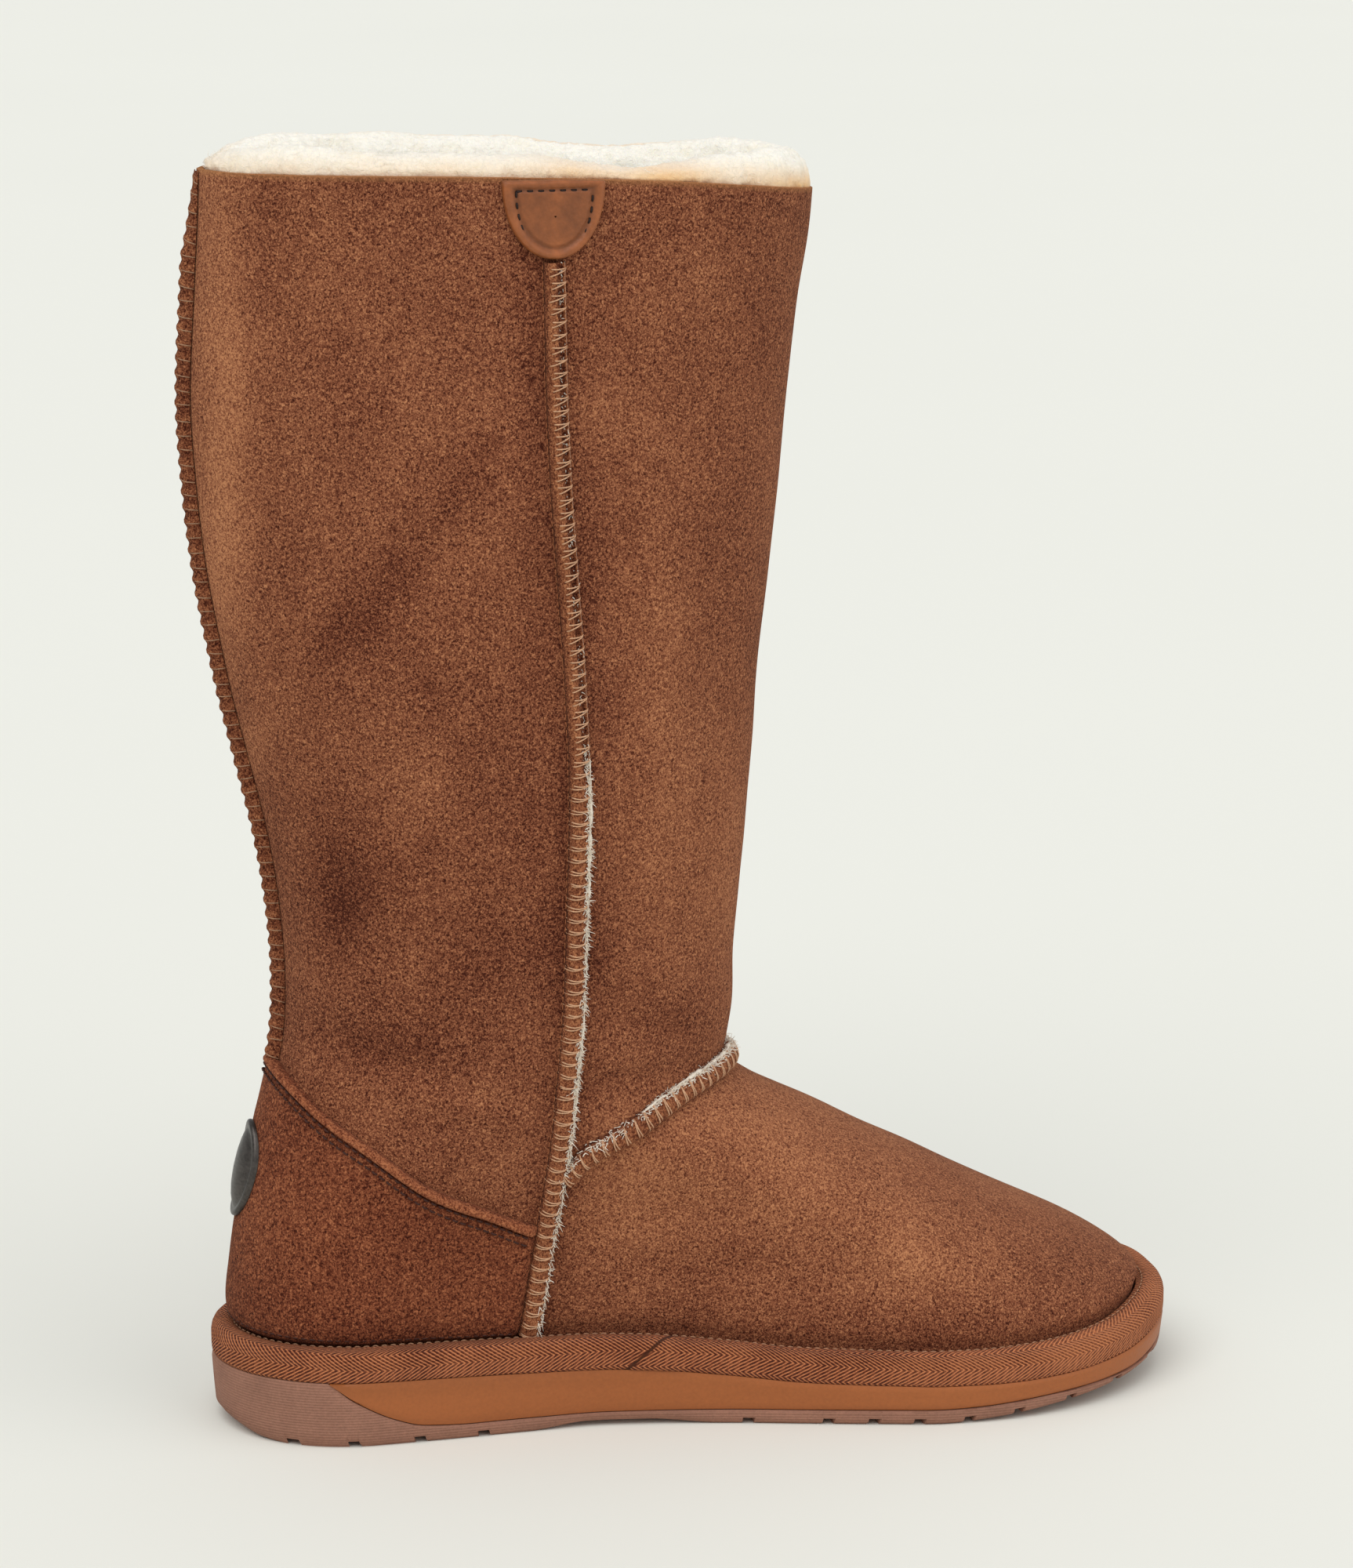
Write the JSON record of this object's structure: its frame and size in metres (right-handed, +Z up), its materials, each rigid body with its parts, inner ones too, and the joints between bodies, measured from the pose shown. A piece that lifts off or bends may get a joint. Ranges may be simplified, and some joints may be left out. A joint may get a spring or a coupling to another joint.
{
  "type": "sheepskin boot",
  "caption": "Tall left sheepskin boot with a rounded toe, raised seams, a heel counter, a bound flat sole, a fleece collar and a lace bow at a side slit.",
  "frame": {"origin": "bottom centre of the boot's box, on the floor, measured without the bow's knot, loops and ends", "axes": "+Z up the shaft, +X towards the toe, -Y towards the inner side of the foot"},
  "size_m": [0.2826, 0.1081, 0.356],
  "materials": {
    "suede": "napped suede, chestnut",
    "counter_suede": "coarse suede, darker chestnut",
    "seam": "overlocked suede edge",
    "tab_leather": "smooth leather, satin",
    "twill": "woven twill tape",
    "midsole": "moulded foam, matte",
    "tread": "moulded rubber, matte",
    "wool": "sheared fleece, cream",
    "pewter": "dark satin plate",
    "lace": "suede cord"
  },
  "bodies": {
    "root": {"outsole": "tread", "midsole": "midsole", "welt_binding": "twill", "insole": "wool", "upper": "suede", "heel_counter": "counter_suede", "seam_inner_side": "seam", "seam_outer_side": "seam", "seam_vamp": "seam", "seam_back": "seam", "collar_tab": "tab_leather", "heel_badge": "pewter", "collar_fleece": "wool", "lace_crossings": "lace", "lace_bar": "lace", "lace_knot": "lace", "lace_loop_front": "lace", "lace_loop_rear": "lace", "lace_end_front": "lace", "lace_end_rear": "lace"}
  },
  "joints": []
}
